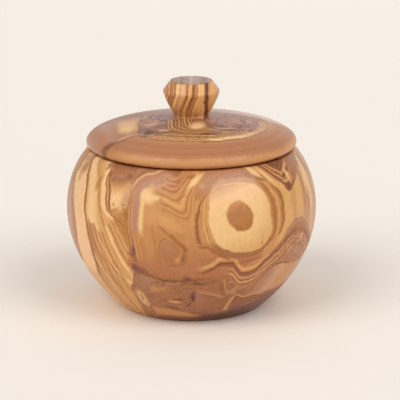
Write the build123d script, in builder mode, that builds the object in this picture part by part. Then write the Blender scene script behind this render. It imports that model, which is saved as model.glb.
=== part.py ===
from build123d import *
import os
from math import cos, radians, sin

# A turned wooden spice jar: a round-bellied bowl, a domed lid that drops into its mouth, and a knob
# glued into the lid. All three are turned about Z. The origin is the centre of the foot on the
# surface the jar stands on, +Z is up, and sizes are in millimetres and degrees.

# Bowl, outside
foot_radius = 28.8
foot_angle = 36.4  # slope of the side where it leaves the foot, from level
belly_radius = 50.0
belly_height = 39.6  # level of the widest circle
rim_radius = 41.1
rim_height = 63.9
rim_angle = 45.6  # slope of the side where it reaches the rim, from level
foot_fullness = 10.3  # how far the foot's slope is felt in the curve above it
belly_fullness_below = 18.3
belly_fullness_above = 12.9
rim_fullness = 4.3
foot_ease = 0.7
rim_ease = 0.6

# Bowl, inside and underneath
wall = 7.0  # at the widest circle
floor_thickness = 8.0
mouth_radius = 35.0
mouth_land = 7.0  # straight stretch of the mouth that guides the lid
mouth_ease = 0.5
hollow_shoulder = 8.0  # how far the belly of the hollow stays upright above its widest circle
hollow_throat = 6.0  # how far the hollow runs on downwards from the mouth before it swells
hollow_side = 17.0  # how far the hollow stays upright below its widest circle
hollow_floor = 31.0  # how far the hollow stays level out from the middle of its floor
recess_radius = 23.0
recess_depth = 0.8

# Lid
lid_overhang = 0.75  # past the bowl's rim
lid_edge_run = 4.4
lid_edge_rise = 2.6
lid_shoulder = 4.5  # how far the edge stays upright before the crown turns in
crown_rise = 12.5  # from the rim to the knob's seat
crown_slope = 5.8  # of the crown where it meets the seat, from level
crown_reach = 22.0  # how far that slope is felt in the curve below it
seat_lip = 0.35  # of the flat seat, round the knob's neck
spigot_clearance = 0.6  # between the spigot and the mouth, on the radius
spigot_depth = 5.2
spigot_width = 5.2
spigot_ease = 0.8
socket_floor = 3.0  # wood left between the socket and the hollow under the lid

# Knob
neck_radius = 7.0
neck_height = 0.9
ridge_radius = 11.35
ridge_height = 10.2  # above the lid's seat
top_radius = 8.3
knob_height = 14.3
top_crown = 0.3
flank_bulge = 0.35
neck_blend = 1.2
ridge_ease = 1.5
top_ease = 0.5
tenon_radius = 4.0
tenon_length = 8.0
tenon_chamfer = 0.6
glue_gap = 0.1  # round the tenon
glue_relief = 0.5  # past the tenon's end

# Levels and radii that follow from them
hollow_radius = belly_radius - wall
lid_radius = rim_radius + lid_overhang
lid_edge_height = rim_height + lid_edge_rise
spigot_radius = mouth_radius - spigot_clearance
spigot_end = rim_height - spigot_depth
lid_hollow_radius = spigot_radius - spigot_width
seat_height = rim_height + crown_rise
seat_radius = neck_radius + seat_lip
socket_depth = tenon_length + glue_relief
lid_hollow_top = seat_height - socket_depth - socket_floor


def polar(start, length, angle):
    """The point that lies so far from start, at that angle from level, in the turning plane."""
    return (start[0] + length * cos(radians(angle)), start[1] + length * sin(radians(angle)))


with BuildPart() as bowl:
    with BuildSketch(Plane.XZ):
        with BuildLine():
            foot = (foot_radius, 0)
            belly = (belly_radius, belly_height)
            rim = (rim_radius, rim_height)
            mouth = (mouth_radius, rim_height - mouth_land)
            hollow = (hollow_radius, belly_height)
            middle = (0, floor_thickness)

            recess = TangentArc((0, recess_depth), (recess_radius, 0), tangent=(1, 0))
            Line(recess @ 1, foot)
            Bezier(
                foot,
                polar(foot, foot_fullness, foot_angle),
                polar(belly, -belly_fullness_below, 90),
                belly,
            )
            Bezier(
                belly,
                polar(belly, belly_fullness_above, 90),
                polar(rim, rim_fullness, -rim_angle),
                rim,
            )
            Polyline(rim, (mouth_radius, rim_height), mouth)
            Bezier(
                mouth,
                polar(mouth, -hollow_throat, 90),
                polar(hollow, hollow_shoulder, 90),
                hollow,
            )
            Bezier(
                hollow,
                polar(hollow, -hollow_side, 90),
                polar(middle, hollow_floor, 0),
                middle,
            )
            Line(middle, recess @ 0)
        make_face()
    revolve(axis=Axis.Z)
    foot_edges = bowl.edges().filter_by(GeomType.CIRCLE).group_by(Axis.Z)[0]
    fillet(foot_edges.sort_by(SortBy.RADIUS)[-1], foot_ease)
    rim_edges = bowl.edges().filter_by(GeomType.CIRCLE).group_by(Axis.Z)[-1].sort_by(SortBy.RADIUS)
    fillet(rim_edges[0], mouth_ease)
    rim_edges = bowl.edges().filter_by(GeomType.CIRCLE).group_by(Axis.Z)[-1].sort_by(SortBy.RADIUS)
    fillet(rim_edges[-1], rim_ease)

with BuildPart() as lid:
    with BuildSketch(Plane.XZ):
        with BuildLine():
            edge = (lid_radius, lid_edge_height)
            seat = (seat_radius, seat_height)

            TangentArc((0, lid_hollow_top), (lid_hollow_radius, spigot_end), tangent=(1, 0))
            Polyline(
                (lid_hollow_radius, spigot_end),
                (spigot_radius, spigot_end),
                (spigot_radius, rim_height),
                (lid_radius - lid_edge_run, rim_height),
            )
            EllipticalCenterArc(
                (lid_radius - lid_edge_run, lid_edge_height),
                lid_edge_run,
                lid_edge_rise,
                start_angle=-90,
                arc_size=90,
            )
            Bezier(
                edge,
                polar(edge, lid_shoulder, 90),
                polar(seat, crown_reach, -crown_slope),
                seat,
            )
            Polyline(seat, (0, seat_height), (0, lid_hollow_top))
        make_face()
    revolve(axis=Axis.Z)
    spigot_edges = lid.edges().filter_by(GeomType.CIRCLE).group_by(Axis.Z)[0]
    fillet(spigot_edges, spigot_ease)
    with Locations((0, 0, seat_height)):
        Hole(tenon_radius + glue_gap, depth=socket_depth)

with BuildPart() as knob:
    with BuildSketch(Plane.XZ):
        with BuildLine():
            neck_top = (neck_radius, seat_height + neck_height)
            ridge = (ridge_radius, seat_height + ridge_height)
            top_edge = (top_radius, seat_height + knob_height)

            tenon = Polyline(
                (0, seat_height - tenon_length),
                (tenon_radius, seat_height - tenon_length),
                (tenon_radius, seat_height),
                (neck_radius, seat_height),
                neck_top,
            )
            SagittaArc(neck_top, ridge, -flank_bulge)
            Line(ridge, top_edge)
            top = TangentArc((0, seat_height + knob_height + top_crown), top_edge, tangent=(1, 0))
            Line(top @ 0, tenon @ 0)
        make_face()
    revolve(axis=Axis.Z)
    tenon_edge = knob.edges().filter_by(GeomType.CIRCLE).group_by(Axis.Z)[0]
    chamfer(tenon_edge, tenon_chamfer)
    level_edges = knob.edges().filter_by(GeomType.CIRCLE).filter_by(Plane.XY)
    fillet(level_edges.sort_by(SortBy.RADIUS)[-1], ridge_ease)
    level_edges = knob.edges().filter_by(GeomType.CIRCLE).filter_by(Plane.XY)
    fillet(level_edges.sort_by(Axis.Z)[-1], top_ease)
    neck_edge = knob.edges().filter_by(GeomType.CIRCLE).filter_by_position(
        Axis.Z, neck_top[1] - neck_height / 2, neck_top[1] + neck_height / 2
    )
    fillet(neck_edge, neck_blend)

bowl.part.label = "bowl"
lid.part.label = "lid"
knob.part.label = "knob"

os.makedirs("parts", exist_ok=True)
export_step(bowl.part, "parts/bowl.step")
export_step(lid.part, "parts/lid.step")
export_step(knob.part, "parts/knob.step")
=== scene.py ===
import math

import bpy
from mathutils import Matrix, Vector

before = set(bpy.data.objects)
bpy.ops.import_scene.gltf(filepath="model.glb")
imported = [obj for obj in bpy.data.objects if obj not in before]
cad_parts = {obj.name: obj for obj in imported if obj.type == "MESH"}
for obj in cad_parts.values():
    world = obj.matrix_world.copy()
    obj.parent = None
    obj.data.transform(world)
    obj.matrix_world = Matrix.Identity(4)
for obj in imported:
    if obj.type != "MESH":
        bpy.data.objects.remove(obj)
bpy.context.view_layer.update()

# Camera: where the photograph was taken from, and where it puts the jar in its 400 x 400 frame
FRAME_PX = 400
CAMERA_HEIGHT_ANGLE = math.radians(14.96)
CAMERA_DISTANCE = 0.700
FOCAL_PX = 1740.9
LOOK_AT = Vector((0, 0, 0.045))
LOOK_AT_PX = (191.5, 191.6)
SENSOR_MM = 36.0
NEAREST = 0.05
FARTHEST = 50

# Floor and light: places and sizes in metres, angles in degrees
FLOOR_SIZE = 8.0
FLOOR_COLOUR = (250, 242, 232)
FLOOR_ROUGHNESS = 0.9
FLOOR_GLOSS = 0.1
WORLD_COLOUR = (255, 255, 255)
WORLD_STRENGTH = 0.5
SUN_HEIGHT_ANGLE = 43
SUN_TURN = 50
SUN_SOFTNESS = 40
LEFT_SUN_STRENGTH = 1.08
RIGHT_SUN_STRENGTH = 1.0
PANEL_PLACE = (0.9, 2.6, 0.5)
PANEL_AIM = (0, 0, 0.05)
PANEL_SIZE = (3.2, 1.6)
PANEL_POWER = 8

# The bowl's wall seen from the middle of its hollow, in mm: how high that middle is, how far off the
# foot's edge is, the reaches that turn angles round and up the wall into mm, and where the hollow
# gives way to the outside
MIDDLE_HEIGHT = 36.0
FOOT_REACH = 28.8
ROUND_REACH = 50.0
RISE_REACH = 48.9
WALL_INSIDE = (42.0, 43.6)

# Half the width of the front's figure, and how far up the wall it is that wide, in mm
FRONT_HALF = 76
FRONT_HALF_HEIGHT = 36

# Round knot on the front, in mm: place, half sizes and how square it is, where 2 is an ellipse
EYE_PLACE = (19.9, 54.2)
EYE_SIZE = (13.1, 13.3)
EYE_SQUARENESS = 2.5

# Smaller knot at the back, and how far it pushes the bands apart, in mm on the bowl's surface
KNOT_PLACE = (-16, 50)
KNOT_REACH = 13.0

# Middle of the tree's growth rings where the hollow and the lid are cut from it, in mm
HOLLOW_PITH = (-16, 30)
LID_PITH = (-20, 30)

# Where the lid's outside ends: a level in mm that rises towards the middle
LID_SLOPE = 0.06
LID_PARTING = (65.6, 66.4)

# Burl on the lid: place and half sizes in mm
LID_BURL_PLACE = (0.5, -3)
LID_BURL_SIZE = (29.5, 27)

# Heights in mm between which the knob's sides give way to its top
KNOB_TOP = (90.2, 90.7)

# Oiled wood: roughness, gloss, and the size and depth of its fine grain in mm
POLISH = 0.36
GLOSS = 0.32
GRAIN_SIZE = 1.5
GRAIN_DEPTH = 0.2
GRAIN_STRENGTH = 0.06

# How much stronger the front's colours are than the tones, and how light some parts are beside them
FRONT_STRENGTH = 1.03
FRONT_LIGHTNESS = 0.98
BURL_LIGHTNESS = 0.89
KNOB_LIGHTNESS = 1.1
KNOB_SHEEN_LIGHTNESS = 0.86

# Wood tones
CREAM = (248, 198, 150)
HONEY = (240, 196, 138)
GOLD = (223, 170, 109)
TAN = (208, 148, 95)
AMBER = (196, 138, 86)
OLIVE = (188, 130, 74)
RUST = (170, 108, 58)
CHESTNUT = (178, 118, 77)
BROWN = (158, 99, 62)
DARK = (126, 74, 47)
UMBER = (94, 54, 40)
MAUVE = (186, 134, 106)
REDDISH = (186, 122, 84)
ROSE = (208, 158, 122)
PLUM = (120, 74, 66)
GREYED = (164, 128, 116)
# The tone of the painted sheen on the lid's back and the knob's top
PALE_GREY_SHEEN = (196, 170, 160)


def linear(colour):
    """An 8-bit screen colour as linear light."""
    values = [c / 255 for c in colour]
    return [c / 12.92 if c <= 0.04045 else ((c + 0.055) / 1.055) ** 2.4 for c in values]


def calculation(operation):
    """A function that puts its values, fields or plain numbers, through a Math node."""

    def calculate(*values):
        return Field(add_node("Math", dict(enumerate(values)), operation=operation).outputs[0])

    return calculate


low = calculation("MINIMUM")
high = calculation("MAXIMUM")
angle = calculation("ARCTAN2")
subtract = calculation("SUBTRACT")


class Field:
    """A number, a place or a colour that varies over the wood, held as the node socket that gives it."""

    def __init__(self, socket):
        self.socket = socket

    def __rsub__(self, other):
        return subtract(other, self)

    __add__ = __radd__ = calculation("ADD")
    __sub__ = subtract
    __mul__ = __rmul__ = calculation("MULTIPLY")
    __truediv__ = calculation("DIVIDE")
    __pow__ = calculation("POWER")
    __abs__ = calculation("ABSOLUTE")


# The node trees being built, the innermost last
trees = []


def add_node(kind, inputs=None, **settings):
    """Adds a node to the innermost tree, with its inputs linked or set."""
    node = trees[-1].nodes.new("ShaderNode" + kind)
    for name, value in settings.items():
        setattr(node, name, value)
    for name, value in (inputs or {}).items():
        if isinstance(value, Field):
            trees[-1].links.new(value.socket, node.inputs[name])
        else:
            node.inputs[name].default_value = value
    return node


def grouped(figure):
    """Lets a function of fields build its nodes in a group of their own."""
    kinds = {"VALUE": "NodeSocketFloat", "VECTOR": "NodeSocketVector", "RGBA": "NodeSocketColor"}

    def build(*values):
        fields = [value for value in values if isinstance(value, Field)]
        group = bpy.data.node_groups.new(figure.__name__, "ShaderNodeTree")
        for field in fields:
            group.interface.new_socket("in", in_out="INPUT", socket_type=kinds[field.socket.type])
        entry = group.nodes.new("NodeGroupInput")
        trees.append(group)
        inside = iter(Field(socket) for socket in entry.outputs)
        result = figure(*[next(inside) if isinstance(value, Field) else value for value in values])
        trees.pop()
        group.interface.new_socket("out", in_out="OUTPUT", socket_type=kinds[result.socket.type])
        group.links.new(result.socket, group.nodes.new("NodeGroupOutput").inputs[0])
        node = add_node("Group", node_tree=group)
        for field, socket in zip(fields, node.inputs):
            trees[-1].links.new(field.socket, socket)
        return Field(node.outputs[0])

    return build


def vec(x, y, z):
    """A place from its three coordinates."""
    return Field(add_node("CombineXYZ", {0: x, 1: y, 2: z}).outputs[0])


def object_place():
    """The place of a point in its own piece, in metres."""
    return Field(add_node("TexCoord").outputs["Object"])


def coordinates():
    """x, y and z in mm."""
    node = add_node("SeparateXYZ", {0: object_place()})
    return [Field(socket) * 1000 for socket in node.outputs]


def scaled(x, lo, hi, interpolation="LINEAR"):
    """0 where x is lo and 1 where it is hi."""
    inputs = {"Value": x, "From Min": lo, "From Max": hi}
    return Field(add_node("MapRange", inputs, interpolation_type=interpolation, clamp=False).outputs[0])


def smooth(x, lo, hi):
    """0 up to lo and 1 from hi on, in either direction, with a soft change between."""
    return scaled(x, lo, hi, "SMOOTHSTEP")


def within(x, start, full, fading, end):
    """Fades in from start to full, and out again from fading to end."""
    return smooth(x, start, full) * smooth(x, end, fading)


def length(a, b):
    """Length of a line that goes a across and b up."""
    return (a ** 2 + b ** 2) ** 0.5


def noise(scale, detail, rough, seed, distortion=0.0):
    """Soft noise in space from about -0.5 to 0.5, with its scale per mm, the same or one for each axis."""
    per_axis = scale if isinstance(scale, tuple) else (scale,) * 3
    inputs = {"Vector": object_place(), "Location": (0, 0, seed), "Scale": [1000 * s for s in per_axis]}
    place = Field(add_node("Mapping", inputs).outputs[0])
    inputs = {"Vector": place, "Scale": 1.0, "Detail": detail, "Roughness": rough, "Distortion": distortion}
    return Field(add_node("TexNoise", inputs).outputs[0]) - 0.5


def noise_along(x, detail, rough, seed):
    """Soft noise along a value."""
    inputs = {"W": x + seed, "Scale": 1.0, "Detail": detail, "Roughness": rough}
    return Field(add_node("TexNoise", inputs, noise_dimensions="1D").outputs[0]) - 0.5


def curve(x, points):
    """A smooth curve through (x, y) points, level past its ends."""
    (first, _), (last, _) = points[0], points[-1]
    bottom = min(y for _, y in points)
    top = max(y for _, y in points)
    node = add_node("FloatCurve", {"Value": scaled(x, first, last)})
    knots = node.mapping.curves[0].points
    while len(knots) < len(points):
        knots.new(0.5, 0.5)
    for knot, (at, y) in zip(knots, points):
        knot.location = ((at - first) / (last - first), (y - bottom) / (top - bottom))
        knot.handle_type = "AUTO_CLAMPED"
    node.mapping.extend = "HORIZONTAL"
    node.mapping.update()
    return Field(node.outputs[0]) * (top - bottom) + bottom


def ramp(x, stops):
    """A colour that changes with x, through (x, colour) stops."""
    first, last = stops[0][0], stops[-1][0]
    node = add_node("ValToRGB", {0: scaled(x, first, last)})
    elements = node.color_ramp.elements
    while len(elements) < len(stops):
        elements.new(0.5)
    for element, (at, tone) in zip(elements, stops):
        element.position = (at - first) / (last - first)
        element.color = (*linear(tone), 1)
    return Field(node.outputs[0])


def paint(under, over, amount):
    """Lays one colour over another by an amount from 0 to 1."""
    if not isinstance(over, Field):
        over = (*linear(over), 1)
    return Field(add_node("Mix", {0: amount, 6: under, 7: over}, data_type="RGBA").outputs[2])


def shade(colour, amount, strength=1.0):
    """Makes a colour lighter or darker, and its colour stronger or weaker."""
    inputs = {"Color": colour, "Value": amount, "Saturation": strength}
    return Field(add_node("HueSaturation", inputs).outputs[0])


def spot(place, centre, size, turn):
    """Distance from a point of (u, v, 1), in units of a turned ellipse's half sizes."""
    c, s = math.cos(math.radians(turn)), math.sin(math.radians(turn))
    along = (c / size[0], s / size[0], -(centre[0] * c + centre[1] * s) / size[0])
    across = (-s / size[1], c / size[1], (centre[0] * s - centre[1] * c) / size[1])
    both = []
    for axis in (along, across):
        node = add_node("VectorMath", {0: place, 1: axis}, operation="DOT_PRODUCT")
        both.append(Field(node.outputs[1]))
    return Field(add_node("VectorMath", {0: vec(*both, 0)}, operation="LENGTH").outputs[1])


def blob(place, centre, size, turn, edge=0.6):
    """1 inside an ellipse and 0 outside it, over a soft edge."""
    return smooth(spot(place, centre, size, turn), 1 + edge, 1 - edge)


def line(x, at, width):
    """1 where x passes a value, 0 away from it."""
    return smooth(abs(x - at), width, width * 0.2)


def dab(wood, place, marks):
    """Paints (tone, centre, size, turn, strength) marks over the wood, some with an edge of their own."""
    for tone, centre, size, turn, strength, *edge in marks:
        wood = paint(wood, tone, blob(place, centre, size, turn, *edge) * strength)
    return wood


def streaked(wood, growth, amount, seed):
    """Fine light and dark lines along the layers."""
    return shade(wood, noise_along(growth, 3.0, 0.7, seed) * amount + 1)


def growth_from(pith, x, y):
    """Uneven distance in mm from the middle of the tree, across slightly oval growth rings."""
    across = (x - pith[0]) ** 2 + (y - pith[1]) ** 2 * 0.7
    return across ** 0.5 + noise(1 / 22, 3, 0.55, 8) * 9


@grouped
def banded(growth, seed):
    """Olive wood's usual stripes, in random order along a growth distance in mm."""
    layers = noise_along(growth * 0.16, 4, 0.66, seed)
    haze = noise(1 / 14, 2, 0.5, seed + 40)
    return ramp(layers + haze * 0.25, [
        (-0.26, UMBER), (-0.2, DARK), (-0.15, BROWN), (-0.1, CHESTNUT), (-0.05, AMBER), (-0.02, TAN),
        (0.02, CHESTNUT), (0.05, AMBER), (0.09, GOLD), (0.14, HONEY), (0.18, AMBER), (0.22, CHESTNUT),
        (0.27, GOLD),
    ])


@grouped
def left_bands(place, u, v, fine):
    """The long bands that run down the left of the bowl, beside a calm field with two pin knots."""
    first = curve(v, [
        (0, -43), (15, -45), (24.6, -47), (30, -45.8), (33, -45.3), (37, -45.3), (42, -46.1), (46, -46.7),
        (51, -48.3), (54, -49.3), (57, -49.9), (60, -50.6), (63, -52.4), (66, -54.5), (68, -55.6),
        (71, -58.5),
    ])
    past = u - first
    wood = ramp(past, [
        (-10, HONEY), (-6, CREAM), (-3, HONEY), (-1.4, CREAM), (-0.8, GOLD), (-0.5, BROWN), (0.1, BROWN),
        (0.5, AMBER), (1, GOLD), (2.2, HONEY), (4, CREAM), (6.5, HONEY), (8.5, GOLD),
    ])
    wood = paint(wood, BROWN, line(past, 0.6, 1.5) * smooth(v, 60, 65) * 0.7)

    # Olive line, the pale band past it and the two dark lines beside the field
    olive = curve(v, [
        (44, -34.4), (47, -35.6), (50, -37), (52.7, -38.6), (55, -39.9), (58.5, -41.1), (61, -41.9),
        (64, -42.9), (67, -45.5), (69, -47.8), (72, -50.4),
    ])
    wall = curve(v, [
        (44, -19), (48.3, -24.9), (50.7, -27.4), (52.3, -30.6), (52.9, -31.9), (53.8, -33.4), (55, -35.3),
        (56.5, -36.4), (59, -37.3), (62.5, -37.9), (65.5, -39.5), (67.5, -39.9), (69.7, -39.4), (71.7, -42),
    ])
    beside = u - wall
    pale = ramp(beside, [
        (-4, HONEY), (-2.8, CREAM), (-1.4, CREAM), (-0.7, HONEY), (-0.35, BROWN), (0.1, RUST), (0.5, GOLD),
        (1, TAN), (1.3, DARK), (1.7, BROWN), (2.1, AMBER), (2.8, GOLD),
    ])
    wood = paint(wood, pale, smooth(beside, -3.6, -2.6))
    wood = paint(wood, OLIVE, line(u, olive, 1) * 0.85)
    wood = paint(wood, OLIVE, line(u, olive + 1.7, 0.5) * smooth(v, 66, 69) * 0.8)
    wood = paint(wood, BROWN, line(u, olive - 1.4, 0.4) * smooth(v, 66, 68) * 0.6)
    field = ramp(v - 0.35 * high(u + 31, 0), [
        (48, TAN), (52.5, AMBER), (54.6, GOLD), (56, HONEY), (61, CREAM), (63.5, GOLD), (65.4, AMBER),
        (66.6, CHESTNUT), (68.5, BROWN), (73, BROWN),
    ])
    field = streaked(field, u * 0.5 - v * 0.35, 0.26, 19)
    field = paint(field, AMBER, smooth(u, -30.5, -27) * smooth(v, 68, 60) * 0.7)
    field = paint(field, ROSE, blob(place, (-27, 62), (2, 5), -10, 0.8) * 0.5)
    wood = paint(wood, field, smooth(beside, 2, 2.8))

    # Below the end of the golden tongue and of the field: fine slanting lines
    streak = curve(v, [
        (0, -16), (12, -19), (20, -22.4), (26, -24.6), (30.3, -26.2), (33.6, -27.7), (36.6, -29.5),
        (40.2, -31.2), (42.8, -32.6), (45.6, -33.6), (48.4, -35.1), (52, -37.4),
    ])
    across = (u - first) / (streak - first)
    low_wood = ramp(across, [
        (-0.6, CREAM), (-0.1, CREAM), (-0.05, GOLD), (-0.02, BROWN), (0.03, BROWN), (0.07, TAN),
        (0.13, AMBER), (0.18, GOLD), (0.24, CHESTNUT), (0.29, TAN), (0.34, GOLD), (0.39, AMBER),
        (0.45, TAN), (0.52, GOLD), (0.58, OLIVE), (0.64, GOLD), (0.7, OLIVE), (0.76, TAN), (0.82, GOLD),
        (0.88, TAN), (0.93, GOLD), (0.97, CREAM), (1.03, CREAM), (1.08, GOLD), (1.15, OLIVE), (1.21, TAN),
        (1.28, GOLD), (1.35, OLIVE), (1.42, GOLD), (1.5, AMBER), (1.6, OLIVE),
    ])
    low_wood = streaked(low_wood, across * 20, 0.34, 52)
    low_wood = paint(low_wood, GOLD, smooth(past, 0, -2) * smooth(v, 27, 23) * 0.7)
    low_wood = paint(low_wood, GOLD, smooth(v, 32, 18) * smooth(across, 1, 0.6) * 0.35)
    pale_one = curve(v, [
        (0, -34), (10.4, -37.2), (15.9, -38.9), (21.5, -40.7), (28.5, -41.8), (31.3, -43.1), (35.6, -44.3),
        (40, -44.8),
    ])
    pale_two = curve(v, [
        (10, -23), (20, -25.4), (26.4, -28.8), (29.2, -31.4), (32.4, -33.7), (34.8, -35.3), (37.9, -36.4),
        (40.3, -37.7), (43, -39.5), (47, -41.5),
    ])
    low_wood = paint(low_wood, BROWN, line(u, pale_one - 1.2, 0.6) * smooth(v, 40, 36) * 0.6)
    low_wood = paint(low_wood, HONEY, line(u, pale_one, 0.9) * smooth(v, 38, 34) * 0.7)
    low_wood = paint(low_wood, BROWN, line(u, pale_two - 1, 0.5) * smooth(v, 22, 27) * 0.6)
    low_wood = paint(low_wood, CREAM, line(u, pale_two, 0.6) * smooth(v, 46, 42) * 0.9)
    crack = curve(v, [
        (12, -33.4), (18.7, -34.6), (22.8, -35.7), (26.2, -36.5), (31.8, -38.1), (37.1, -40.6),
        (40.9, -42.7), (46, -45),
    ])
    low_wood = paint(low_wood, BROWN, line(u, crack, 0.5) * 0.8)
    low_wood = paint(low_wood, BROWN, line(u, crack - 1.8 + fine, 0.4) * smooth(v, 33, 29) * 0.7)
    low_wood = dab(low_wood, place, [
        (GOLD, (-27.8, 30.5), (2.6, 2), -50, 0.8),
        (HONEY, (-28, 26), (2, 1.4), -50, 0.8),
        (DARK, (-34.9, 22.2), (0.35, 3.4), 6, 0.7),
        (DARK, (-38, 25.6), (0.35, 2.2), 14, 0.6),
        (CHESTNUT, (-43.8, 41.5), (1.3, 5), 12, 0.7),
    ])
    tongue = v + 0.43 * high(u + 46.6, 0) + fine * 6
    past_wall = smooth(beside, -1.6, 0.4) * smooth(v, 56, 52)
    under_tongue = smooth(tongue, 50.8, 49.2) * smooth(u, -35.5, -37.5)
    under_field = smooth(v - 0.9 * (u + 35), 50.6, 48.2)
    wood = paint(wood, low_wood, high(under_tongue, under_field))
    wood = paint(wood, low_wood, past_wall * smooth(beside, 2.2, 1))
    wood = paint(wood, BROWN, line(beside, 0.2, 0.7) * within(v, 47, 50, 54, 57) * 0.7)

    # Past the last band, towards the left outline: mauve and grey painted sheen over the wood
    rim_side = curve(v, [
        (20, -70), (24.9, -66), (28.5, -62), (31.7, -60), (38.7, -57.8), (43, -57.2), (45.7, -57.2),
        (50.3, -58.5), (54.6, -61.1), (59, -63.6), (62.8, -67), (66, -70), (73, -75),
    ])
    edge = ramp(u - rim_side, [
        (-12, MAUVE), (-6, ROSE), (-3.4, MAUVE), (-1.6, MAUVE), (-0.5, CHESTNUT), (0.3, AMBER), (1.2, GOLD),
    ])
    wood = paint(wood, edge, smooth(u - rim_side, 1.1, 0.2) * smooth(v, 22, 30))
    return dab(wood, place, [
        (CHESTNUT, (-60, 67.6), (3.4, 2.4), 30, 0.85),
        (MAUVE, (-62, 71), (5, 1.8), 10, 0.7),
        (OLIVE, (-60.5, 63.4), (1.2, 1.6), 0, 0.6),
        (OLIVE, (-43.6, 64.6), (1.4, 3.4), -14, 0.85, 0.5),
        (BROWN, (-42.6, 71.2), (1.6, 1.3), 0, 0.8, 0.4),
        (CREAM, (-43.4, 71), (0.8, 0.7), 0, 0.7, 0.5),
        (DARK, (-39, 68.6), (0.8, 1.4), 20, 0.7, 0.5),
        (CHESTNUT, (-31, 70.2), (8, 2), -2, 0.8, 0.7),
        (MAUVE, (-33.6, 68.4), (3.4, 1), 6, 0.6, 0.7),
        (DARK, (-28, 68.9), (1.6, 1.2), 0, 0.6),
        (BROWN, (-24.8, 67.6), (2.4, 0.7), 20, 0.6),
        (OLIVE, (-31.7, 55.7), (1.8, 0.7), 14, 0.85, 0.7),
        (AMBER, (-29, 54.4), (2.4, 1), -14, 0.85, 0.7),
        (OLIVE, (-27.2, 56.6), (1, 0.6), 0, 0.8, 0.7),
        (GOLD, (-30.2, 56.8), (1.2, 0.5), 0, 0.8, 0.7),
        (BROWN, (-26.4, 54.6), (0.6, 1.6), 10, 0.6),
        (GOLD, (-32.8, 57.7), (0.9, 0.9), 0, 0.6),
        (UMBER, (-32.8, 57.7), (0.3, 0.36), 0, 0.95, 0.5),
        (UMBER, (-28.2, 58.3), (0.34, 0.32), 0, 0.95, 0.5),
        (DARK, (-26.9, 58.5), (0.24, 0.22), 0, 0.8, 0.5),
    ])


@grouped
def chevrons(place, u, v):
    """Layers seen end on, that fall and rise again in a row of lopsided V shapes."""
    point = high(0.6 * (57.3 - v), -3.6) - 3.4
    slope = curve(v, [(57, 0.66), (62, 0.62), (65, 0.5), (68, 0.42), (71, 0.32)])
    across = low(u - point, 0) * slope / 0.62 + high(u - point, 0)
    above = v - curve(across, [
        (-14, 7.6), (-8, 4.2), (-4, 1.8), (-2.2, 0.75), (-1, 0.15), (0, 0), (0.8, 0.2), (1.6, 0.8),
        (3, 2.7), (6, 7), (10, 13),
    ])
    wood = ramp(above, [
        (54, TAN), (54.5, AMBER), (54.9, CHESTNUT), (55.3, TAN), (56.6, TAN), (57, RUST), (57.5, OLIVE),
        (58, TAN), (59.5, GOLD), (60.7, TAN), (61.2, AMBER), (61.5, RUST), (61.9, AMBER), (62.8, TAN),
        (64.1, AMBER), (64.7, RUST), (65.1, REDDISH), (65.8, TAN), (66.2, AMBER), (66.6, CHESTNUT),
        (67.1, REDDISH), (68, TAN), (68.5, BROWN), (69, REDDISH), (69.8, TAN), (70.6, CHESTNUT),
        (72, BROWN),
    ])
    wood = streaked(wood, above * 1.3, 0.26, 3)
    return dab(wood, place, [
        (OLIVE, (-3.2, 57.2), (2, 0.6), 0, 0.7, 0.5),
        (RUST, (-0.4, 70.8), (1.8, 0.8), 20, 0.8),
        (RUST, (-5.6, 68.6), (1.2, 0.6), 30, 0.7),
        (RUST, (-3.6, 63.2), (1.4, 0.4), 50, 0.7),
    ])


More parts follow.
